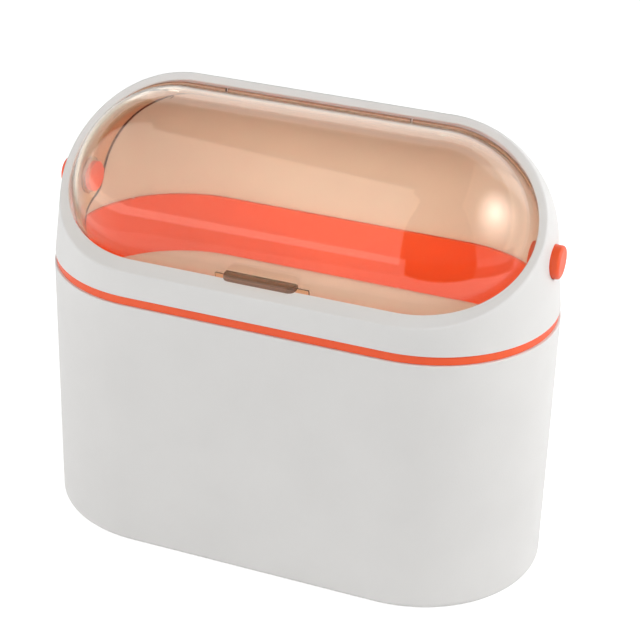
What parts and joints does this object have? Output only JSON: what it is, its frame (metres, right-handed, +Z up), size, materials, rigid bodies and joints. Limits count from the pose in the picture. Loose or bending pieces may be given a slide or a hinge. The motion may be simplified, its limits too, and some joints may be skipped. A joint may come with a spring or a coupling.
{
  "type": "desktop trash can",
  "caption": "Small obround desktop bin with a hooded frame and a clear roll-top lid that turns back on side pins; an inner ring holds the bag.",
  "frame": {"origin": "centre of the base on the surface the bin stands on", "axes": "+Z up, +X along the length to the right as seen from the front, -Y to the front where the finger tab is"},
  "size_m": [0.212, 0.104, 0.1833],
  "materials": {
    "white_plastic": "fine matte moulding",
    "orange_plastic": "satin moulding",
    "amber_clear": "clear, polished"
  },
  "bodies": {
    "bin": {"bin_body": "white_plastic"},
    "ring": {"bag_ring": "orange_plastic"},
    "cover": {"top_frame": "white_plastic", "pivot_pin_right": "orange_plastic", "pivot_pin_left": "orange_plastic", "pin_retainer_right": "orange_plastic", "pin_retainer_left": "orange_plastic"},
    "lid": {"lid_dome": "amber_clear", "finger_tab": "amber_clear"}
  },
  "joints": [
    {"name": "ring_lift", "type": "slide", "parent": "bin", "child": "ring", "axis": [0, 0, 1], "range_m": [0, 0.04]},
    {"name": "cover_lift", "type": "slide", "parent": "ring", "child": "cover", "axis": [0, 0, 1], "range_m": [0, 0.05]},
    {"name": "lid_roll", "type": "hinge", "parent": "cover", "child": "lid", "pos_m": [0, 0, 0.1383], "axis": [-1, 0, 0], "range_deg": [0, 121]}
  ]
}
